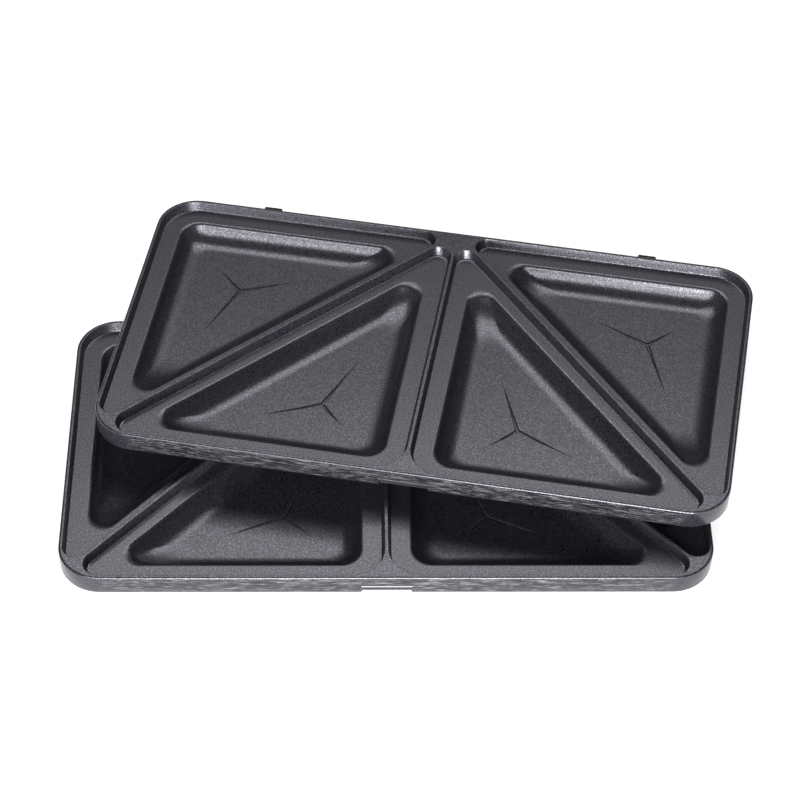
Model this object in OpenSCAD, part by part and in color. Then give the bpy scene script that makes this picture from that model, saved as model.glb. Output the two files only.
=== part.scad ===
// A pair of removable die-cast plates for a sandwich toaster.
// Each plate toasts two sandwiches and seals each one into two triangles.
// The upper plate lies across the lower one, with its flat pocket undersides on the lower rim.
// Millimetres. +X right, +Y to the rear edge, +Z up.
// The origin is the middle of the pair, on the surface that the lower plate rests on.

/* [Plate] */
// Width of a plate, left to right
plate_w = 250; // [225:1:300]
// Depth of a plate, front to rear, without its lugs
plate_d = 137; // [122:1:160]
// Radius of the plate's corners
corner_r = 16.5; // [12:0.5:24]
// Height of the outer wall
skirt_h = 8.6; // [7.6:0.1:11]
// Thickness of the outer wall below the deck
skirt_t = 2.4; // [2:0.1:4]
// Lean of the outer wall, inwards on its way down
skirt_draft = 0.25; // [0:0.05:0.6]
// Rounding of the rim's outer edge
rim_round = 0.8; // [0.3:0.1:1.2]
// Bevel of the outer wall's bottom edge
skirt_bevel = 0.15; // [0.05:0.05:1]
// Thickness of the casting
wall_t = 2.2; // [1.6:0.1:3]

/* [Cells] */
// Depth of the flat land below the rim
land_drop = 4; // [2.5:0.1:5]
// Width of the rim at its top
rim_w = 1.4; // [1:0.1:3]
// Width of the ridges between the cells at their top
ridge_w = 1; // [0.8:0.1:2.5]
// Run of a cell's side wall, seen from above
cell_wall_run = 0.8; // [0.4:0.1:1.6]
// Bevel along the top of a cell's side wall
cell_bevel = 0.3; // [0.1:0.05:0.4]
// Radius where a cell's side wall meets the land
cell_foot_r = 0.7; // [0.3:0.1:1.5]
// Corner radius of an inner cell at the middle of the front edge
inner_corner_r = 13.2; // [9:0.2:18]
// Radius at an inner cell's side tip
inner_side_tip_r = 6.2; // [4:0.1:9]
// Radius at an inner cell's rear tip
inner_rear_tip_r = 5.3; // [4:0.1:9]
// Radius at an outer cell's front tip
outer_front_tip_r = 5.2; // [4:0.1:9]
// Radius at an outer cell's rear tip
outer_rear_tip_r = 5; // [4:0.1:9]

/* [Pockets] */
// Depth of a pocket below the land
pocket_depth = 6.8; // [5:0.1:10]
// Width of the land along the rim
land_w = 7; // [5:0.1:10]
// Width of the land along the middle ridge
middle_land_w = 7.4; // [5:0.1:10]
// Width of the land along the diagonal ridges
diagonal_land_w = 4.5; // [3.5:0.1:9]
// Slope of a pocket's side wall, from level
pocket_slope = 65; // [55:1:75]
// Rounding of a pocket's upper edge
lip_r = 1.6; // [0.8:0.1:2.5]
// Radius where a pocket's side wall runs into its floor
floor_fillet_r = 9; // [4:0.5:11]
// Corner radius of a pocket at its square corner
pocket_corner_r = 8.5; // [5:0.5:12]
// Corner radius of a pocket at its two sharp tips
pocket_tip_r = 6.3; // [4:0.1:8]
// Corner radius of the flat floor
floor_corner_r = 5; // [3:0.5:7]

/* [Score marks] */
// Width of a score mark at its middle
score_w = 1.8; // [0.6:0.1:2.4]
// Depth of a score mark
score_depth = 0.45; // [0.2:0.05:0.8]
// How far each arm reaches from the pocket's middle towards its corner
score_reach = 0.34; // [0.2:0.01:0.5]

/* [Catch notch] */
// Width of the notch that the toaster's catch presses into
catch_w = 18.2; // [12:0.2:30]
// Height of the notch above the skirt's bottom edge
catch_h = 3; // [1.5:0.1:4]
// Depth of the notch into the outer wall
catch_depth = 1.3; // [0.6:0.1:1.6]
// How much wider the notch is at its mouth, at each end
catch_flare = 0.9; // [0:0.1:2]

/* [Rear lugs] */
// Distance between the two lugs' middles
lug_pitch = 158.8; // [100:0.2:180]
// Width of a lug at its root
lug_w = 9.4; // [6:0.1:14]
// Width of a lug at its tip
lug_tip_w = 7.2; // [3:0.1:12]
// How far a lug stands out of the rear wall
lug_reach = 4.2; // [2:0.1:8]
// Thickness of a lug
lug_t = 2.4; // [1.5:0.1:3]
// Depth of a lug's top below the rim
lug_drop = 3; // [1.5:0.1:4]

/* [How the pair lies] */
// Sideways shift of the upper plate
upper_shift_x = 18.8; // [-40:0.2:40]
// Shift of the upper plate to the rear
upper_shift_y = 39.9; // [0:0.2:60]
// Turn of the upper plate, seen from above
upper_turn = -10.5; // [-25:0.5:25]
// Clearance between the upper plate and the lower rim
seat_gap = 0.3; // [0.1:0.05:0.6]

/* [Hidden] */
plate_colour = "#3d3e42";
eps = 0.01;

// How far a score mark's solid stands out of the pocket's floor, as a share of its depth
score_rise = 0.1;
// Flat pieces that each rounded corner is drawn with
cell_steps = 8;
plate_steps = 8;
// Angles, from level, at which a pocket's rounded edge and floor fillet are drawn
lip_angles = [0, pocket_slope * 0.35, pocket_slope * 0.7];
fillet_angles = [for (share = [1, 0.78, 0.56, 0.34, 0.14, 0]) pocket_slope * share];
foot_angles = [0, 45, 90];

// Levels above the surface that a plate rests on
plate_h = land_drop + pocket_depth + wall_t;
land_z = plate_h - land_drop;
deck_under_z = land_z - wall_t;
floor_z = wall_t;
skirt_z = plate_h - skirt_h;

// A pocket's wall: rounded edge, straight slope and floor fillet
drop_share = 1 - cos(pocket_slope);
floor_r = min(floor_fillet_r, 0.95 * (pocket_depth / drop_share - lip_r));
slope_drop = pocket_depth - (lip_r + floor_r) * drop_share;
pocket_run = (lip_r + floor_r) * sin(pocket_slope) + slope_drop / tan(pocket_slope);

// Inside of the rim and the line that the two diagonal ridges follow
cell_x = plate_w / 2 - rim_w;
cell_y = plate_d / 2 - rim_w;
ridge_dir = [plate_w / 2, plate_d] / norm([plate_w / 2, plate_d]);
function ridge_x(y, side) = (y - plate_d / 2 - side * ridge_w / 2 / ridge_dir.x) * ridge_dir.x / ridge_dir.y;
function ridge_y(x, side) = plate_d / 2 + x * ridge_dir.y / ridge_dir.x + side * ridge_w / 2 / ridge_dir.x;

// The left half's two cells. Each has its square corner and then its two tips, anticlockwise,
// the radii there, and the width of the land along the side that follows each of them.
outer_cell = [
    [[-cell_x, cell_y], [-cell_x, ridge_y(-cell_x, 1)], [ridge_x(cell_y, 1), cell_y]],
    [corner_r - rim_w, outer_front_tip_r, outer_rear_tip_r],
    [land_w, diagonal_land_w, land_w]
];
inner_cell = [
    [[-ridge_w / 2, -cell_y], [-ridge_w / 2, ridge_y(-ridge_w / 2, -1)], [ridge_x(-cell_y, -1), -cell_y]],
    [inner_corner_r, inner_rear_tip_r, inner_side_tip_r],
    [middle_land_w, diagonal_land_w, land_w]
];
pocket_radii = [pocket_corner_r, pocket_tip_r, pocket_tip_r];
foot_run = cell_wall_run + cell_foot_r;

// Centre of a plate corner's arc, and the upper plate's reach from its middle once it is turned
arc_x = plate_w / 2 - corner_r;
arc_y = plate_d / 2 - corner_r;
turned_x = arc_x * cos(upper_turn) + arc_y * abs(sin(upper_turn)) + corner_r;
turned_y = arc_x * abs(sin(upper_turn)) + arc_y * cos(upper_turn) + corner_r;
low_y = min(-plate_d / 2, upper_shift_y - turned_y);
high_y = max(plate_d / 2 + lug_reach, upper_shift_y + turned_y);
low_x = min(-plate_w / 2, upper_shift_x - turned_x);
high_x = max(plate_w / 2, upper_shift_x + turned_x);
pair_middle = [(low_x + high_x) / 2, (low_y + high_y) / 2, 0];

function unit(v) = v / norm(v);
function left_of(v) = [-v.y, v.x];
function mix(a, b, share) = a + (b - a) * share;
function mirrored(cell) = [
    [for (i = [0, 2, 1]) [-cell[0][i].x, cell[0][i].y]],
    [for (i = [0, 2, 1]) cell[1][i]],
    [for (i = [2, 1, 0]) cell[2][i]]
];
function pocket_insets(cell) = [for (land = cell[2]) cell_wall_run + land];

// Where the two sides at a triangle's corner meet once each side has moved in by its inset
function corner_point(triangle, i, insets) =
    let (before = unit(triangle[i] - triangle[(i + 2) % 3]))
    let (after = unit(triangle[(i + 1) % 3] - triangle[i]))
    let (from = triangle[i] + left_of(before) * insets[(i + 2) % 3])
    let (to = triangle[i] + left_of(after) * insets[i])
    from + before * cross(to - from, after) / cross(before, after);

// One level of a cell: the triangle moved in by an inset for each side, with rounded corners
function cell_ring(triangle, insets, radii, z) = [
    for (i = [0:2])
        let (before = unit(triangle[i] - triangle[(i + 2) % 3]))
        let (after = unit(triangle[(i + 1) % 3] - triangle[i]))
        let (centre = corner_point(triangle, i, insets + [1, 1, 1] * radii[i]))
        let (start = atan2(-before.x, before.y))
        for (k = [0:cell_steps])
            let (a = start + acos(before * after) * k / cell_steps)
            [centre.x + radii[i] * cos(a), centre.y + radii[i] * sin(a), z]
];

// One level of the plate's outline, moved in by inset
function plate_ring(inset, z) = [
    for (quarter = [[1, 1, 0], [-1, 1, 90], [-1, -1, 180], [1, -1, 270]])
        for (k = [0:plate_steps])
            let (a = quarter[2] + 90 * k / plate_steps)
            let (r = corner_r - inset)
            [quarter.x * arc_x + r * cos(a), quarter.y * arc_y + r * sin(a), z]
];

// Rings of a cell's own wall, from above the rim down to the land
function cell_rings(cell) = [
    for (level = concat(
        [[-cell_bevel, plate_h + cell_bevel], [cell_bevel, plate_h - cell_bevel]],
        [for (a = foot_angles) [foot_run - cell_foot_r * cos(a), land_z + cell_foot_r * (1 - sin(a))]]
    ))
        let (shrink = min(level[0], cell_wall_run))
        cell_ring(cell[0], [1, 1, 1] * level[0], [for (r = cell[1]) r - shrink], level[1])
];

// One level of a pocket, in from its upper edge by run, for the wall's inner or outer face
function pocket_ring(cell, run, grow, z) = cell_ring(
    cell[0],
    [for (inset = pocket_insets(cell)) inset + run - grow],
    [for (r = pocket_radii) mix(r, floor_corner_r, run / pocket_run) + grow],
    z
);

// Rings of the pocket that the filling lies in
function pocket_rings(cell) = concat(
    [
        for (a = lip_angles)
            pocket_ring(cell, lip_r * sin(a), 0, land_z - lip_r * (1 - cos(a)))
    ],
    [
        for (a = fillet_angles)
            pocket_ring(cell, pocket_run - floor_r * sin(a), 0, floor_z + floor_r * (1 - cos(a)))
    ]
);

// Rings of the same pocket's underside, one wall thickness further out
function bulge_rings(cell) =
    let (top_run = pocket_run - floor_r * sin(pocket_slope))
    let (top_z = (floor_r + wall_t) * drop_share)
    let (rise = deck_under_z + wall_t / 2 - top_z)
    concat(
        [pocket_ring(cell, top_run - rise / tan(pocket_slope), wall_t * sin(pocket_slope), top_z + rise)],
        [
            for (a = fillet_angles)
                let (z = (floor_r + wall_t) * (1 - cos(a)))
                pocket_ring(cell, pocket_run - floor_r * sin(a), wall_t * sin(a), z)
        ]
    );

// A closed solid through rings that are listed from the top down, each anticlockwise from above
module loft(rings) {
    n = len(rings[0]);
    last = (len(rings) - 1) * n;
    polyhedron(
        points = [for (ring = rings) each ring],
        faces = concat(
            [[for (k = [n - 1:-1:0]) k]],
            [[for (k = [0:n - 1]) last + k]],
            [for (j = [0:n:last - n]) for (k = [0:n - 1]) [j + k, j + (k + 1) % n, j + n + (k + 1) % n]],
            [for (j = [0:n:last - n]) for (k = [0:n - 1]) [j + k, j + n + (k + 1) % n, j + n + k]]
        ),
        convexity = 6
    );
}

// Outer form of the casting down to the skirt's bottom edge
module plate_blank() {
    loft([
        plate_ring(rim_round, plate_h),
        plate_ring(rim_round * (1 - sin(45)), plate_h - rim_round * (1 - cos(45))),
        plate_ring(0, plate_h - rim_round),
        plate_ring(skirt_draft, skirt_z + skirt_bevel),
        plate_ring(skirt_draft + skirt_bevel, skirt_z)
    ]);
}

// Hollow below the deck, inside the skirt
module skirt_hollow() {
    loft([
        plate_ring(skirt_t + wall_t / 2, deck_under_z),
        plate_ring(skirt_t, deck_under_z - wall_t / 2),
        plate_ring(skirt_t, skirt_z - wall_t)
    ]);
}

// Space above one cell's casting: its recess and its pocket in one
module cell_space(cell) {
    loft(concat(cell_rings(cell), pocket_rings(cell)));
}

// Underside of one pocket, flat at the bottom, where the plate rests
module pocket_bulge(cell) {
    loft(bulge_rings(cell));
}

// A three-armed score mark, a V groove that runs from the pocket's middle towards its corners and
// tapers to a point in width and depth
module score_mark(cell) {
    corners = [for (i = [0:2]) corner_point(cell[0], i, pocket_insets(cell))];
    sides = [for (i = [0:2]) norm(corners[(i + 1) % 3] - corners[(i + 2) % 3])];
    middle = sides * corners / (sides * [1, 1, 1]);
    arms = [for (corner = corners) (corner - middle) * score_reach];
    translate([middle.x, middle.y, floor_z + score_rise * score_depth])
        mirror([0, 0, 1])
            linear_extrude((1 + score_rise) * score_depth, scale = 0)
                polygon((1 + score_rise) * [
                    for (i = [0:2])
                        let (arm = unit(arms[i]))
                        let (between = unit(arm + unit(arms[(i + 1) % 3])))
                        each [arms[i], between * score_w / 2 / cross(arm, between)]
                ]);
}

// Notch in the front wall that the toaster's catch holds
module catch_notch() {
    face_y = -plate_d / 2;
    translate([0, 0, skirt_z - eps])
        linear_extrude(catch_h + eps)
            polygon([
                [-catch_w / 2, face_y + catch_depth],
                [-catch_w / 2 - catch_flare, face_y],
                [-catch_w / 2 - catch_flare, face_y - catch_depth],
                [catch_w / 2 + catch_flare, face_y - catch_depth],
                [catch_w / 2 + catch_flare, face_y],
                [catch_w / 2, face_y + catch_depth]
            ]);
}

// Lug that hooks under the toaster's rear edge
module rear_lug() {
    root_y = plate_d / 2 - skirt_t / 2;
    tip_y = plate_d / 2 + lug_reach;
    translate([0, 0, plate_h - lug_drop - lug_t])
        linear_extrude(lug_t)
            polygon([
                [-lug_w / 2, root_y],
                [lug_w / 2, root_y],
                [lug_w / 2, plate_d / 2],
                [lug_tip_w / 2, tip_y],
                [-lug_tip_w / 2, tip_y],
                [-lug_w / 2, plate_d / 2]
            ]);
}

// One whole casting, resting on its pockets, in its own frame
module plate() {
    cells = [outer_cell, inner_cell, mirrored(outer_cell), mirrored(inner_cell)];
    difference() {
        union() {
            difference() {
                plate_blank();
                skirt_hollow();
            }
            for (cell = cells)
                pocket_bulge(cell);
            for (side = [-1, 1])
                translate([side * lug_pitch / 2, 0, 0])
                    rear_lug();
        }
        for (cell = cells) {
            cell_space(cell);
            score_mark(cell);
        }
        catch_notch();
    }
}

module lower_plate() {
    color(plate_colour)
        translate(-pair_middle)
            plate();
}

module upper_plate() {
    color(plate_colour)
        translate([upper_shift_x, upper_shift_y, plate_h + seat_gap] - pair_middle)
            rotate([0, 0, upper_turn])
                plate();
}

lower_plate();
upper_plate();
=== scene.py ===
"""Casts, coats and stages the two removable plates of a sandwich toaster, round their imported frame."""

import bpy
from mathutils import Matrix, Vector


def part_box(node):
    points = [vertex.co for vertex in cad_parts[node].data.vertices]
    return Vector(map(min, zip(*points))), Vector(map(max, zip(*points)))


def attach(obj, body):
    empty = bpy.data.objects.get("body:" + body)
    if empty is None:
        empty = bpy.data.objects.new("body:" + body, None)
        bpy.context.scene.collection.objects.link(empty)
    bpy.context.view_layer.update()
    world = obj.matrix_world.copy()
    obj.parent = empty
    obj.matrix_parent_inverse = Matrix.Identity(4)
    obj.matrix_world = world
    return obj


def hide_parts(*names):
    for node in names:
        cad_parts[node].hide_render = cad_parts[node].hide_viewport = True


bl_info = {
    "name": "Sandwich Toaster Plates",
    "version": (1, 0, 0),
    "blender": (4, 5, 0),
    "location": "View3D > Sidebar > Toaster Plates",
    "description": "Models, coats and stages a pair of removable sandwich toaster plates",
    "category": "Object",
}

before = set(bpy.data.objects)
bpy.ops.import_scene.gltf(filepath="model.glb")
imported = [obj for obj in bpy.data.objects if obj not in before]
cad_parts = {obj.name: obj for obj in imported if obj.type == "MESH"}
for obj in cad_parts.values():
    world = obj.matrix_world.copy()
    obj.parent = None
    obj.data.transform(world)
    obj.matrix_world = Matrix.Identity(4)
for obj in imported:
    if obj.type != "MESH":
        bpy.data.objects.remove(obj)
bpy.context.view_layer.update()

from math import acos, atan2, cos, pi, radians, sin, tan

import bmesh
import bpy
from bpy.props import FloatProperty, FloatVectorProperty, IntProperty, PointerProperty
from bpy.types import Operator, Panel, PropertyGroup
from mathutils import Matrix, Vector

MM = 0.001
PLATES = {"lower_plate": "nonstick_lower", "upper_plate": "nonstick_upper"}

WALL_TOP_STEPS = 4
WALL_FOOT_STEPS = 8
RIM_STEPS = 6
LUG_STEPS = 3
SAME_LEVEL = 1e-7
SHARP_EDGE = radians(32)

FLOOR_HALF_SIDE = 20.0
FLOOR_GAP = 0.2 * MM
FLOOR_TINT = (0.80, 0.80, 0.80, 1.0)
WHITE = (1.0, 1.0, 1.0, 1.0)

# Each lamp's name, place, target, width and height, and brightness. A brightness of 1 looks white.
LAMPS = (
    ("overhead_softbox", (0.0, 0.285, 0.55), (0.0, 0.285, 0.0), (0.50, 0.27), 4.2),
    ("rear_softbox", (0.0, 0.56, 0.55), (0.0, 0.56, 0.0), (0.90, 0.28), 0.8),
    ("front_strip", (0.0, -1.2, 0.08), (0.0, 0.0, 0.08), (0.53, 0.14), 100.0),
    ("front_softbox", (-0.32, -1.2, 0.68), (-0.32, 0.0, 0.68), (1.30, 1.00), 7.0),
)


def size(name, description, millimetres):
    """A length in millimetres, shown in the scene's own unit."""
    return FloatProperty(name=name, description=description, default=millimetres * MM, min=0, unit="LENGTH",
                         precision=4)


def turn(name, description, degrees):
    """An angle in degrees."""
    return FloatProperty(name=name, description=description, default=radians(degrees), subtype="ANGLE")


# Sizes and colours


class PlateSizes(PropertyGroup):
    """Sizes of one casting."""

    width: size("Width", "Width of a plate, left to right", 250)
    depth: size("Depth", "Depth of a plate without its lugs", 137)
    corner: size("Corner Radius", "Radius of the plate's corners", 16.5)
    skirt_height: size("Wall Height", "Height of the outer wall", 8.6)
    skirt_wall: size("Wall Thickness", "Thickness of the outer wall below the deck", 2.4)
    draft: size("Draft", "Lean of the outer wall, inwards on its way down", 0.25)
    rim_round: size("Rim Rounding", "Radius of the rim's outer edge", 0.8)
    foot_bevel: size("Foot Bevel", "Bevel of the outer wall's bottom edge", 0.15)
    casting: size("Casting", "Thickness of the casting", 2.2)
    land_drop: size("Land Drop", "Depth of the flat land below the rim", 4)
    rim: size("Rim Width", "Width of the rim at its top", 1.4)
    ridge: size("Ridge Width", "Width of the ridges at their top", 1)
    wall_run: size("Wall Run", "Run of a cell's side wall, seen from above, with its foot", 1.5)
    wall_slope: turn("Wall Slope", "Slope of a cell's side wall, from level", 77)
    wall_bevel: size("Wall Bevel", "Rounding along the top of a cell's side wall", 0.2)
    wall_foot: size("Wall Foot", "Radius where a cell's side wall meets the land", 0.55)
    inner_corner: size("Inner Corner", "Radius of an inner cell at the middle of the front edge", 13.2)
    inner_side_tip: size("Inner Side Tip", "Radius at an inner cell's side tip", 6.2)
    inner_rear_tip: size("Inner Rear Tip", "Radius at an inner cell's rear tip", 5.3)
    outer_front_tip: size("Outer Front Tip", "Radius at an outer cell's front tip", 5.2)
    outer_rear_tip: size("Outer Rear Tip", "Radius at an outer cell's rear tip", 5)
    pocket_depth: size("Pocket Depth", "Depth of a pocket below the land", 6.8)
    land: size("Land", "Width of the land along the rim", 6.3)
    middle_land: size("Middle Land", "Width of the land along the middle ridge", 6.7)
    outer_diagonal_land: size("Outer Diagonal Land", "Width of an outer cell's land along the diagonal ridge", 2.7)
    inner_diagonal_land: size("Inner Diagonal Land", "Width of an inner cell's land along the diagonal ridge", 3.8)
    slope: turn("Slope", "Slope of a pocket's side wall, from level", 65)
    lip: size("Lip", "Rounding of a pocket's upper edge", 1.6)
    fillet: size("Floor Fillet", "Radius where a pocket's side wall runs into its floor", 9)
    pocket_corner: size("Pocket Corner", "Corner radius of a pocket at its square corner", 8.5)
    pocket_tip: size("Pocket Tip", "Corner radius of a pocket at its sharp tips", 6.3)
    floor_corner: size("Floor Corner", "Corner radius of the flat floor", 5)
    score_width: size("Score Width", "Width of a score mark at its middle", 1.8)
    score_depth: size("Score Depth", "Depth of a score mark", 0.45)
    score_side: size("Score Side", "Run of a score mark's sloping sides, seen from above", 0.6)
    score_reach: FloatProperty(name="Score Reach", description="Reach of a score mark's arms towards the corners",
                               default=0.34, min=0.1, max=0.6, subtype="FACTOR")
    catch_width: size("Catch Width", "Width of the notch for the catch", 18.2)
    catch_height: size("Catch Height", "Height of the notch above the wall's bottom edge", 3)
    catch_depth: size("Catch Depth", "Depth of the notch into the outer wall", 1.3)
    catch_flare: size("Catch Flare", "Widening of the notch at its mouth, at each end", 0.9)
    lug_pitch: size("Lug Pitch", "Distance between the lugs' middles", 158.8)
    lug_width: size("Lug Width", "Width of a lug at its root", 9.4)
    lug_tip: size("Lug Tip", "Width of a lug at its tip", 7.2)
    lug_reach: size("Lug Reach", "How far a lug stands out of the rear wall", 4.2)
    lug_thickness: size("Lug Thickness", "Thickness of a lug", 2.4)
    lug_drop: size("Lug Drop", "Depth of a lug's top below the rim", 3)
    soft_edge: size("Soft Edge", "Rounding that the coating leaves on sharp edges", 0.15)
    upper_turn: turn("Upper Turn", "Turn of the upper plate, seen from above", -10.5)
    corner_steps: IntProperty(name="Corner Steps", description="Faces round each corner", default=16, min=4, max=48)
    fillet_steps: IntProperty(name="Fillet Steps", description="Faces down each fillet", default=14, min=4, max=32)


class CoatingLook(PropertyGroup):
    """Colours and finish of the non-stick coating."""

    colour: FloatVectorProperty(name="Colour", description="Colour of the coating", subtype="COLOR",
                                size=3, default=(0.0030, 0.0028, 0.0050), min=0, max=1)
    fleck: FloatVectorProperty(name="Fleck", description="Colour of the flecks in the coating", subtype="COLOR",
                               size=3, default=(0.118, 0.114, 0.140), min=0, max=1)
    # This bare-metal colour lightens the linishing streaks and also paints the highlight along the edge over the
    # notch
    bare_metal_and_highlight: FloatVectorProperty(name="Bare Metal", description="Colour where the coating is rubbed thin",
                              subtype="COLOR", size=3, default=(0.85, 0.85, 0.87), min=0, max=1)
    roughness: FloatProperty(name="Roughness", description="Roughness of the coating", default=0.27,
                             min=0, max=1, subtype="FACTOR")
    fleck_size: size("Fleck Size", "Distance between the flecks", 0.6)
    streak_length: size("Streak Length", "Length of the linishing streaks on the front wall", 6)
    streak_height: size("Streak Height", "Height of the linishing streaks on the front wall", 0.35)
    cloud_size: size("Cloud Size", "Distance between the patches where the finish turns a little duller", 38)


class StageLook(PropertyGroup):
    """Floor, lamps and camera."""

    floor_colour: FloatVectorProperty(name="Floor", description="Colour of the floor", subtype="COLOR",
                                      size=3, default=(0.86, 0.86, 0.87), min=0, max=1)
    floor_glow: FloatProperty(name="Floor Glow", description="Glow of the floor near the plates, where it is seen",
                              default=0.6, min=0, max=1, subtype="FACTOR")
    glow_start: size("Glow Start", "Distance at which the floor's glow begins to rise to white", 350)
    glow_end: size("Glow End", "Distance from which the floor's glow is white", 1000)
    lens: FloatProperty(name="Lens", description="Focal length on a 36 mm sensor, in millimetres",
                        default=120.06, min=10, max=400)
    rise: FloatProperty(name="Rise", description="How far the view is shifted up, in image widths", default=-0.0004,
                        min=-1, max=1)
    camera_place: FloatVectorProperty(name="Camera Place", description="Where the camera stands", size=3,
                                      subtype="XYZ", unit="LENGTH", default=(-0.028966, -0.737605, 0.791877))
    camera_turn: FloatVectorProperty(name="Camera Turn", description="How the camera is turned", size=3,
                                     subtype="EULER", default=(0.754493, -0.015380, -0.013475))
    ambient: FloatProperty(name="Ambient", description="Strength of the surroundings", default=0.08, min=0, max=2)


# Mesh helpers


def unit(vector):
    """The vector at length 1."""
    return vector.normalized()


def left_of(vector):
    """The vector turned by 90 degrees, anticlockwise."""
    return Vector((-vector.y, vector.x))


def cross(a, b):
    """Height of the cross product of two flat vectors."""
    return a.x * b.y - a.y * b.x


def mix(a, b, share):
    """The value that lies share of the way from a to b."""
    return a + (b - a) * share


def angles(end, steps):
    """Evenly spaced angles from 0 to the end."""
    return [end * i / steps for i in range(steps + 1)]


def verts_in(geometry):
    """The vertices among what an operator returns."""
    return [item for item in geometry if isinstance(item, bmesh.types.BMVert)]


def corner_point(triangle, i, insets):
    """Where the two sides at a corner meet once each side has moved in by its inset."""
    before = unit(triangle[i] - triangle[i - 1])
    after = unit(triangle[(i + 1) % 3] - triangle[i])
    start = triangle[i] + left_of(before) * insets[i - 1]
    end = triangle[i] + left_of(after) * insets[i]
    return start + before * (cross(end - start, after) / cross(before, after))


def triangle_corners(triangle, insets, radii):
    """Centre, radius, first angle and turn of each rounded corner of a triangle that has moved in."""
    corners = []
    for i, radius in enumerate(radii):
        before = unit(triangle[i] - triangle[i - 1])
        after = unit(triangle[(i + 1) % 3] - triangle[i])
        centre = corner_point(triangle, i, [inset + radius for inset in insets])
        corners.append((centre, radius, atan2(-before.x, before.y), acos(max(-1, min(1, before.dot(after))))))
    return corners


def plate_corners(sizes, inset):
    """Centre, radius, first angle and turn of each rounded corner of the plate's outline, moved in."""
    x = sizes.width / 2 - sizes.corner
    y = sizes.depth / 2 - sizes.corner
    return [(Vector((x * side, y * end)), sizes.corner - inset, first * pi / 2, pi / 2)
            for side, end, first in ((1, 1, 0), (-1, 1, 1), (-1, -1, 2), (1, -1, 3))]


def ring(corners, z, steps):
    """The points of a rounded outline at one height: one point spun round each corner's centre."""
    points = []
    for centre, radius, first, angle in corners:
        arc = bmesh.new()
        start = arc.verts.new((centre.x + radius * cos(first), centre.y + radius * sin(first), z))
        bmesh.ops.spin(arc, geom=[start], cent=(centre.x, centre.y, z), axis=(0, 0, 1), angle=angle, steps=steps)
        points += [vert.co.copy() for vert in arc.verts]
        arc.free()
    return points


def loft(bm, rings):
    """Extrudes the first ring of points through the others."""
    verts = [bm.verts.new(point) for point in rings[0]]
    edges = [bm.edges.new(pair) for pair in zip(verts, verts[1:] + verts[:1])]
    for here, there in zip(rings, rings[1:]):
        targets = {tuple(point): target for point, target in zip(here, there)}
        raised = bmesh.ops.extrude_edge_only(bm, edges=edges)["geom"]
        for vert in verts_in(raised):
            vert.co = targets[tuple(vert.co)]
        edges = [item for item in raised if isinstance(item, bmesh.types.BMEdge)]


def close(bm, z):
    """Fills the flat areas between the open loops at one height."""
    open_edges = [edge for edge in bm.edges
                  if edge.is_boundary and all(abs(vert.co.z - z) < SAME_LEVEL for vert in edge.verts)]
    bmesh.ops.triangle_fill(bm, use_beauty=True, edges=open_edges)


def prism(bm, outline, low, high):
    """An upright solid on a flat outline."""
    base = bm.faces.new([bm.verts.new((x, y, low)) for x, y in outline])
    raised = bmesh.ops.extrude_face_region(bm, geom=[base], use_keep_orig=True)["geom"]
    bmesh.ops.translate(bm, vec=(0, 0, high - low), verts=verts_in(raised))


def finished(bm, name):
    """Turns a bmesh into an object at the origin, with its faces pointing outwards."""
    bmesh.ops.recalc_face_normals(bm, faces=bm.faces)
    mesh = bpy.data.meshes.new(name)
    bm.to_mesh(mesh)
    bm.free()
    piece = bpy.data.objects.new(name, mesh)
    bpy.context.scene.collection.objects.link(piece)
    return piece


def combine(piece, tool, operation):
    """Cuts or joins a second solid and then removes it."""
    modifier = piece.modifiers.new("combine", "BOOLEAN")
    modifier.operation = operation
    modifier.solver = "EXACT"
    modifier.object = tool
    depsgraph = bpy.context.evaluated_depsgraph_get()
    old = piece.data
    piece.data = bpy.data.meshes.new_from_object(piece.evaluated_get(depsgraph))
    piece.modifiers.clear()
    piece.data.name = old.name
    bpy.data.meshes.remove(old)
    bpy.data.objects.remove(tool)


# The casting


def levels(sizes):
    """Heights above the surface that a plate rests on: rim, land, deck underside, floor and wall bottom."""
    top = sizes.land_drop + sizes.pocket_depth + sizes.casting
    land = top - sizes.land_drop
    return top, land, land - sizes.casting, sizes.casting, top - sizes.skirt_height


def left_cells(sizes):
    """The left half's two cells: their corners, radii there and land widths, anticlockwise."""
    half = Vector((sizes.width / 2, sizes.depth))
    along = unit(half)
    shift = sizes.ridge / 2 / along.x
    x = sizes.width / 2 - sizes.rim
    y = sizes.depth / 2 - sizes.rim

    def ridge_y(at, side):
        return sizes.depth / 2 + at * along.y / along.x + side * shift

    def ridge_x(at, side):
        return (at - sizes.depth / 2 - side * shift) * along.x / along.y

    middle = -sizes.ridge / 2
    outer = ([Vector((-x, y)), Vector((-x, ridge_y(-x, 1))), Vector((ridge_x(y, 1), y))],
             [sizes.corner - sizes.rim, sizes.outer_front_tip, sizes.outer_rear_tip],
             [sizes.land, sizes.outer_diagonal_land, sizes.land])
    inner = ([Vector((middle, -y)), Vector((middle, ridge_y(middle, -1))), Vector((ridge_x(-y, -1), -y))],
             [sizes.inner_corner, sizes.inner_rear_tip, sizes.inner_side_tip],
             [sizes.middle_land, sizes.inner_diagonal_land, sizes.land])
    return outer, inner


def pocket_profile(sizes):
    """Radius of the floor fillet, run of a pocket's wall, and run at the top of the fillet."""
    share = 1 - cos(sizes.slope)
    fillet = min(sizes.fillet, 0.95 * (sizes.pocket_depth / share - sizes.lip))
    straight = sizes.pocket_depth - (sizes.lip + fillet) * share
    run = (sizes.lip + fillet) * sin(sizes.slope) + straight / tan(sizes.slope)
    return fillet, run, run - fillet * sin(sizes.slope)


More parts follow.
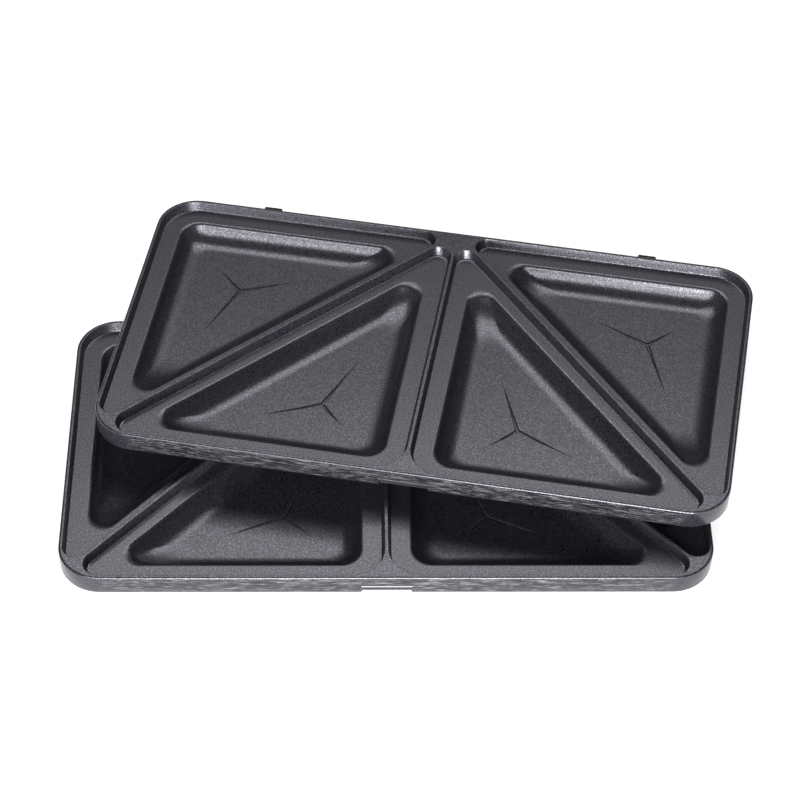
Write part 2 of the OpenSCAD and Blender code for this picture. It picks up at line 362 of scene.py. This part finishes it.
def pocket_ring(sizes, cell, run, grow, z, steps):
    """One level of a pocket, in from its upper edge by run, for the wall's inner or outer face."""
    triangle, _, lands = cell
    whole = pocket_profile(sizes)[1]
    radii = [mix(radius, sizes.floor_corner, max(0, run / whole)) + grow
             for radius in (sizes.pocket_corner, sizes.pocket_tip, sizes.pocket_tip)]
    insets = [sizes.wall_run + land + run - grow for land in lands]
    return ring(triangle_corners(triangle, insets, radii), z, steps)


def add_cell(bm, sizes, cell):
    """Lofts one recess with its pocket, from the rim down to the pocket's floor."""
    top, land, _, floor, _ = levels(sizes)
    triangle, radii, _ = cell
    hold = sizes.soft_edge
    fillet, run, _ = pocket_profile(sizes)

    wall = [(-hold, top)]
    for angle in angles(sizes.wall_slope, WALL_TOP_STEPS):
        wall.append((sizes.wall_bevel * sin(angle), top - sizes.wall_bevel * (1 - cos(angle))))
    for angle in reversed(angles(sizes.wall_slope, WALL_FOOT_STEPS)):
        wall.append((sizes.wall_run - sizes.wall_foot * sin(angle), land + sizes.wall_foot * (1 - cos(angle))))
    wall.append((sizes.wall_run + hold, land))
    rings = []
    for inset, z in wall:
        shrunk = [radius - min(inset, sizes.wall_run / 2) for radius in radii]
        rings.append(ring(triangle_corners(triangle, [inset] * 3, shrunk), z, sizes.corner_steps))

    pocket = [(-hold, land)]
    for angle in angles(sizes.slope, sizes.fillet_steps // 2):
        pocket.append((sizes.lip * sin(angle), land - sizes.lip * (1 - cos(angle))))
    for angle in reversed(angles(sizes.slope, sizes.fillet_steps)):
        pocket.append((run - fillet * sin(angle), floor + fillet * (1 - cos(angle))))
    pocket.append((run + hold, floor))
    loft(bm, rings + [pocket_ring(sizes, cell, inset, 0, z, sizes.corner_steps) for inset, z in pocket])


def add_score_mark(bm, sizes, cell):
    """Sinks a mark with sloping sides and three arms, which taper to a point, into the pocket's floor."""
    floor = levels(sizes)[3]
    triangle, _, lands = cell
    insets = [sizes.wall_run + land for land in lands]
    corners = [corner_point(triangle, i, insets) for i in range(3)]
    sides = [(corners[(i + 1) % 3] - corners[(i + 2) % 3]).length for i in range(3)]
    middle = sum((corner * side for corner, side in zip(corners, sides)), Vector((0, 0))) / sum(sides)
    arms = [(corner - middle) * sizes.score_reach for corner in corners]
    outline = []
    for i, arm in enumerate(arms):
        between = unit(unit(arm) + unit(arms[(i + 1) % 3]))
        outline += [arm, between * (sizes.score_width / 2 / cross(unit(arm), between))]
    face = bm.faces.new([bm.verts.new((middle.x + point.x, middle.y + point.y, floor)) for point in outline])
    sunk = bmesh.ops.extrude_face_region(bm, geom=[face], use_keep_orig=True)["geom"]
    bmesh.ops.delete(bm, geom=[face], context="FACES_ONLY")
    bottom = verts_in(sunk)
    share = 1 - sizes.score_side / (sizes.score_width / 2)
    bmesh.ops.scale(bm, vec=(share, share, 1), verts=bottom, space=Matrix.Translation((-middle.x, -middle.y, 0)))
    bmesh.ops.translate(bm, vec=(0, 0, -sizes.score_depth), verts=bottom)


def add_bulge(bm, sizes, cell):
    """Lofts the underside of one pocket, from the deck's underside down to its flat bottom."""
    deck = levels(sizes)[2]
    fillet, run, straight_run = pocket_profile(sizes)
    radius = fillet + sizes.casting
    rise = deck - radius * (1 - cos(sizes.slope))
    profile = [(straight_run - rise / tan(sizes.slope), sizes.casting * sin(sizes.slope), deck)]
    for angle in reversed(angles(sizes.slope, sizes.fillet_steps // 2)):
        profile.append((run - fillet * sin(angle), sizes.casting * sin(angle), radius * (1 - cos(angle))))
    loft(bm, [pocket_ring(sizes, cell, inset, grow, z, sizes.corner_steps // 2) for inset, grow, z in profile])


def add_skirt(bm, sizes):
    """Lofts the rim's edge, the outer wall and its inner face, up to the deck's underside."""
    top, _, deck, _, bottom = levels(sizes)
    edge = sizes.rim_round
    foot_point = sizes.foot_bevel * 0.3
    profile = [(edge + sizes.soft_edge, top)]
    for angle in reversed(angles(pi / 2, RIM_STEPS)):
        profile.append((edge * (1 - cos(angle)), top - edge * (1 - sin(angle))))
    profile += [
        (sizes.draft, bottom + sizes.foot_bevel),
        (sizes.draft + foot_point, bottom + foot_point),
        (sizes.draft + sizes.foot_bevel, bottom),
        (sizes.skirt_wall - sizes.soft_edge, bottom),
        (sizes.skirt_wall, bottom + sizes.soft_edge),
        (sizes.skirt_wall, deck - sizes.casting / 2),
        (sizes.skirt_wall + sizes.casting / 2, deck),
    ]
    loft(bm, [ring(plate_corners(sizes, inset), z, sizes.corner_steps) for inset, z in profile])


def notch_tool(sizes):
    """The solid that cuts the catch's notch out of the front wall."""
    bottom = levels(sizes)[4]
    front = -sizes.depth / 2
    back, clear = front + sizes.catch_depth, front - sizes.catch_depth
    inner = sizes.catch_width / 2
    mouth = inner + sizes.catch_flare
    bm = bmesh.new()
    prism(bm, [(-inner, back), (-mouth, front), (-mouth, clear), (mouth, clear), (mouth, front), (inner, back)],
          bottom - sizes.catch_height, bottom + sizes.catch_height)
    return finished(bm, "notch_tool")


def lug_tool(sizes, side):
    """One rear lug, rounded at its edges, with its root inside the wall."""
    top = levels(sizes)[0] - sizes.lug_drop
    rear = sizes.depth / 2
    inside, end = rear - sizes.skirt_wall / 2, rear + sizes.lug_reach
    root, tip = sizes.lug_width / 2, sizes.lug_tip / 2
    outline = [(-root, inside), (root, inside), (root, rear), (tip, end), (-tip, end), (-root, rear)]
    centre = side * sizes.lug_pitch / 2
    bm = bmesh.new()
    prism(bm, [(centre + x, y) for x, y in outline], top - sizes.lug_thickness, top)
    outside = [edge for edge in bm.edges if max(vert.co.y for vert in edge.verts) > rear + sizes.soft_edge]
    bmesh.ops.bevel(bm, geom=outside, offset=sizes.soft_edge * 2, offset_type="OFFSET", affect="EDGES",
                    segments=LUG_STEPS, profile=0.5, material=-1)
    return finished(bm, "lug_tool")


def build_plate(name, sizes):
    """One whole casting in its own place: lofted, notched, fitted with its lugs and softened at its edges."""
    bm = bmesh.new()
    for cell in left_cells(sizes):
        add_cell(bm, sizes, cell)
        add_score_mark(bm, sizes, cell)
        add_bulge(bm, sizes, cell)
    bmesh.ops.mirror(bm, geom=bm.verts[:] + bm.edges[:] + bm.faces[:], axis="X", merge_dist=0)
    add_skirt(bm, sizes)
    top, _, deck, floor, _ = levels(sizes)
    for z in (top, deck, floor, 0):
        close(bm, z)
    piece = finished(bm, name + "_casting")
    combine(piece, notch_tool(sizes), "DIFFERENCE")
    for side in (-1, 1):
        combine(piece, lug_tool(sizes, side), "UNION")

    bm = bmesh.new()
    bm.from_mesh(piece.data)
    for edge in bm.edges:
        edge.smooth = len(edge.link_faces) != 2 or edge.calc_face_angle() < SHARP_EDGE
    for face in bm.faces:
        face.smooth = True
    bmesh.ops.transform(bm, matrix=plate_place(name, sizes), verts=bm.verts)
    bm.to_mesh(piece.data)
    bm.free()
    return piece


def plate_place(name, sizes):
    """Where a plate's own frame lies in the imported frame."""
    low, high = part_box(name)
    angle = sizes.upper_turn if name == "upper_plate" else 0
    half_width = sizes.width / 2 - sizes.corner
    half_depth = sizes.depth / 2 - sizes.corner
    reach = half_width * abs(sin(angle)) + half_depth * cos(angle) + sizes.corner
    return Matrix.Translation(((low.x + high.x) / 2, low.y + reach, low.z)) @ Matrix.Rotation(angle, 4, "Z")


# Materials


class Value:
    """A shader value, so that node maths reads as Python, as in 1 - mask * 0.5."""

    def __init__(self, bench, socket):
        self.bench = bench
        self.socket = socket

    def _math(self, operation, *values):
        return self.bench.add("ShaderNodeMath", {"operation": operation}, dict(enumerate(values)))

    def __add__(self, other):
        return self._math("ADD", self, other)

    def __radd__(self, other):
        return self._math("ADD", other, self)

    def __sub__(self, other):
        return self._math("SUBTRACT", self, other)

    def __rsub__(self, other):
        return self._math("SUBTRACT", other, self)

    def __mul__(self, other):
        return self._math("MULTIPLY", self, other)

    def __rmul__(self, other):
        return self._math("MULTIPLY", other, self)

    def __abs__(self):
        return self._math("ABSOLUTE", self)

    def most(self, other):
        """The greater of two values."""
        return self._math("MAXIMUM", self, other)

    def step(self, low, high):
        """Rises smoothly from 0 at low to 1 at high, or falls where low is the greater."""
        falling = low > high
        ends = {"From Min": min(low, high), "From Max": max(low, high),
                "To Min": 1.0 if falling else 0.0, "To Max": 0.0 if falling else 1.0}
        return self.bench.add("ShaderNodeMapRange", {"interpolation_type": "SMOOTHSTEP"}, {"Value": self, **ends})


class Bench:
    """Adds nodes to one material."""

    def __init__(self, name):
        self.material = bpy.data.materials.new(name)
        self.material.use_nodes = True
        self.tree = self.material.node_tree
        self.tree.nodes.clear()

    def add(self, kind, settings=None, inputs=None, output=0):
        """A node with its settings and then its inputs, as values or links. Returns one of its outputs."""
        node = self.tree.nodes.new(kind)
        for key, value in (settings or {}).items():
            setattr(node, key, value)
        for key, value in (inputs or {}).items():
            if isinstance(value, Value):
                self.tree.links.new(value.socket, node.inputs[key])
            else:
                node.inputs[key].default_value = value
        return Value(self, node.outputs[output])

    def output_of(self, value, name):
        """Another output of the node that a value comes from."""
        return Value(self, value.socket.node.outputs[name])

    def mix_colour(self, share, a, b):
        """A colour between a and b."""
        return self.add("ShaderNodeMix", {"data_type": "RGBA"}, {0: share, 6: a, 7: b}, output=2)

    def noise(self, vector, scale, detail=2.0, roughness=0.5):
        """Noise from 0 to 1."""
        return self.add("ShaderNodeTexNoise", {}, {"Vector": vector, "Scale": scale, "Detail": detail,
                                                   "Roughness": roughness})

    def finish(self, shader):
        """Sends a shader to the material's output and returns the material."""
        node = self.tree.nodes.new("ShaderNodeOutputMaterial")
        self.tree.links.new(shader.socket, node.inputs["Surface"])
        return self.material


def rgba(colour):
    """A colour as four numbers."""
    return (*colour, 1.0)


def coating(name, sizes, look):
    """Satin non-stick coating with fine flecks, linished along the front wall, with a band of bright bare metal
    over the notch that is a painted highlight.
    """
    top, _, _, _, bottom = levels(sizes)
    bench = Bench(name + "_coating")
    place = plate_place(name, sizes)
    world = bench.output_of(bench.add("ShaderNodeTexCoord"), "Object")
    own = bench.add("ShaderNodeMapping", {"vector_type": "TEXTURE"},
                    {"Vector": world, "Location": place.to_translation(), "Rotation": place.to_euler()})
    split = bench.add("ShaderNodeSeparateXYZ", {}, {0: own})
    x, y, z = split, bench.output_of(split, "Y"), bench.output_of(split, "Z")

    grain = bench.noise(own, 1 / look.fleck_size, detail=2.0, roughness=0.7)
    flecks = grain.step(0.38, 0.68)
    cloud = bench.noise(own, 1 / look.cloud_size, detail=2.0)

    # The streaks fade out along all four edges of the front wall's straight part
    front = -sizes.depth / 2
    straight = sizes.width / 2 - sizes.corner
    on_face = y.step(front + 0.75 * MM, front + 0.45 * MM)
    on_front = on_face * (abs(x) - straight).step(2 * MM, -5 * MM)
    on_front = on_front * z.step(bottom + 0.3 * MM, bottom + 0.8 * MM) * z.step(top - 0.5 * MM, top - 0.9 * MM)
    stretched = bench.add("ShaderNodeMapping", {"vector_type": "POINT"}, {
        "Vector": own, "Scale": (1 / look.streak_length, 1 / look.streak_height, 1 / look.streak_height)})
    streak_noise = bench.noise(stretched, 1.0, detail=5.0, roughness=0.75)
    streaks = on_front * streak_noise.step(0.50, 0.72)
    flecks = flecks * (1 - on_front * 0.8)

    # A painted highlight along the edge over the notch: a band of bright bare metal that stands in for the edge's
    # bright line
    over_notch = z - bottom - sizes.catch_height - 0.3 * MM
    past_notch = abs(x) - sizes.catch_width / 2
    bare_metal_and_highlight = on_face * abs(over_notch).step(0.3 * MM, 0.2 * MM) * past_notch.step(0.6 * MM, 0.4 * MM)

    colour = bench.mix_colour(flecks, rgba(look.colour), rgba(look.fleck))
    # Bare metal shows in the streaks and in the painted highlight over the notch, in colour and in metallic
    colour = bench.mix_colour((streaks * 0.5).most(bare_metal_and_highlight), colour, rgba(look.bare_metal_and_highlight))
    metal = flecks.most(streaks).most(bare_metal_and_highlight)
    roughness = look.roughness + (cloud - 0.5) * 0.06 + streaks * 0.08
    bump = bench.add("ShaderNodeBump", {}, {"Strength": 0.4, "Distance": 0.04 * MM, "Height": grain + streaks})
    surface = bench.add("ShaderNodeBsdfPrincipled", {}, {
        "Base Color": colour, "Metallic": metal, "Roughness": roughness, "Normal": bump,
        "Specular IOR Level": 0.6})
    return bench.finish(surface)


def floor_paint(look):
    """Plain pale floor that looks white where it is seen and keeps the plates' shadow."""
    bench = Bench("studio_floor")
    path = bench.add("ShaderNodeLightPath")
    seen = bench.output_of(path, "Is Camera Ray").most(bench.output_of(path, "Is Glossy Ray"))
    seen = seen.most(bench.output_of(path, "Is Transmission Ray"))
    place = bench.output_of(bench.add("ShaderNodeTexCoord"), "Object")
    grain = bench.noise(place, 40.0)
    colour = bench.mix_colour(grain * 0.04, rgba(look.floor_colour), FLOOR_TINT)
    paint = bench.add("ShaderNodeBsdfDiffuse", {}, {"Color": colour})
    distance = bench.add("ShaderNodeVectorMath", {"operation": "LENGTH"}, {0: place}, output="Value")
    far = distance.step(look.glow_start, look.glow_end)
    tint = bench.mix_colour(far, rgba([look.floor_glow] * 3), WHITE)
    glow = bench.add("ShaderNodeEmission", {}, {"Color": tint, "Strength": 1.0})
    lit = bench.add("ShaderNodeAddShader", {}, {0: paint, 1: glow})
    return bench.finish(bench.add("ShaderNodeMixShader", {}, {0: seen, 1: paint, 2: lit}))


# Operators and panel


class OBJECT_OT_toaster_plates(Operator):
    """Model and coat both plates of the toaster"""

    bl_idname = "object.toaster_plates"
    bl_label = "Cast the Plates"

    def execute(self, context):
        sizes = context.scene.plate_sizes
        look = context.scene.coating_look
        for node, slot in PLATES.items():
            piece = build_plate(node, sizes)
            piece.data.materials.append(coating(node, sizes, look))
            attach(piece, node)
            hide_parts(node)
        return {"FINISHED"}


class OBJECT_OT_toaster_stage(Operator):
    """Lay the floor and set the lamps, the surroundings and the camera"""

    bl_idname = "object.toaster_stage"
    bl_label = "Set the Stage"

    def execute(self, context):
        look = context.scene.stage_look
        bm = bmesh.new()
        bmesh.ops.create_grid(bm, x_segments=1, y_segments=1, size=FLOOR_HALF_SIDE)
        bmesh.ops.translate(bm, vec=(0, 0, -FLOOR_GAP), verts=bm.verts)
        floor = finished(bm, "studio_floor")
        floor.data.materials.append(floor_paint(look))

        for lamp in LAMPS:
            add_lamp(*lamp)
        set_surroundings(context.scene, look)
        set_camera(context.scene, look)
        return {"FINISHED"}


def add_lamp(name, place, target, sides, brightness):
    """A rectangular softbox that faces its target."""
    light = bpy.data.lights.new(name, "AREA")
    light.shape = "RECTANGLE"
    light.size, light.size_y = sides
    light.energy = brightness * pi * sides[0] * sides[1]
    lamp = bpy.data.objects.new(name, light)
    bpy.context.scene.collection.objects.link(lamp)
    lamp.location = place
    lamp.rotation_euler = (Vector(target) - Vector(place)).to_track_quat("-Z", "Y").to_euler()
    lamp.visible_camera = False


def set_surroundings(scene, look):
    """Plain surroundings, the same all round."""
    world = bpy.data.worlds.new("studio")
    world.use_nodes = True
    sky = next(node for node in world.node_tree.nodes if node.type == "BACKGROUND")
    sky.inputs["Color"].default_value = WHITE
    sky.inputs["Strength"].default_value = look.ambient
    scene.world = world


def set_camera(scene, look):
    """The camera of the photograph, as fitted to the plates' edges."""
    data = bpy.data.cameras.new("camera")
    data.sensor_width = 36.0
    data.lens = look.lens
    data.shift_y = look.rise
    data.clip_start, data.clip_end = 0.05, 20.0
    camera = bpy.data.objects.new("camera", data)
    scene.collection.objects.link(camera)
    camera.location = look.camera_place
    camera.rotation_euler = look.camera_turn
    scene.camera = camera


class VIEW3D_PT_toaster_plates(Panel):
    """Sizes, colours and steps of the toaster plates"""

    bl_label = "Toaster Plates"
    bl_idname = "VIEW3D_PT_toaster_plates"
    bl_space_type = "VIEW_3D"
    bl_region_type = "UI"
    bl_category = "Toaster Plates"

    def draw(self, context):
        layout = self.layout
        for title, group in (("Plate", context.scene.plate_sizes), ("Coating", context.scene.coating_look),
                             ("Stage", context.scene.stage_look)):
            box = layout.box()
            box.label(text=title)
            for key in group.__annotations__:
                box.prop(group, key)
        layout.operator(OBJECT_OT_toaster_plates.bl_idname)
        layout.operator(OBJECT_OT_toaster_stage.bl_idname)


CLASSES = (PlateSizes, CoatingLook, StageLook, OBJECT_OT_toaster_plates, OBJECT_OT_toaster_stage,
           VIEW3D_PT_toaster_plates)


def register():
    """Registers the classes and hangs the sizes and colours on the scene."""
    for cls in CLASSES:
        bpy.utils.register_class(cls)
    bpy.types.Scene.plate_sizes = PointerProperty(type=PlateSizes)
    bpy.types.Scene.coating_look = PointerProperty(type=CoatingLook)
    bpy.types.Scene.stage_look = PointerProperty(type=StageLook)


def unregister():
    """Removes what register added."""
    del bpy.types.Scene.stage_look
    del bpy.types.Scene.coating_look
    del bpy.types.Scene.plate_sizes
    for cls in reversed(CLASSES):
        bpy.utils.unregister_class(cls)


def main():
    """Builds the whole scene."""
    register()
    bpy.context.scene.view_settings.view_transform = "Standard"
    bpy.ops.object.toaster_stage()
    bpy.ops.object.toaster_plates()


if __name__ == "__main__":
    main()
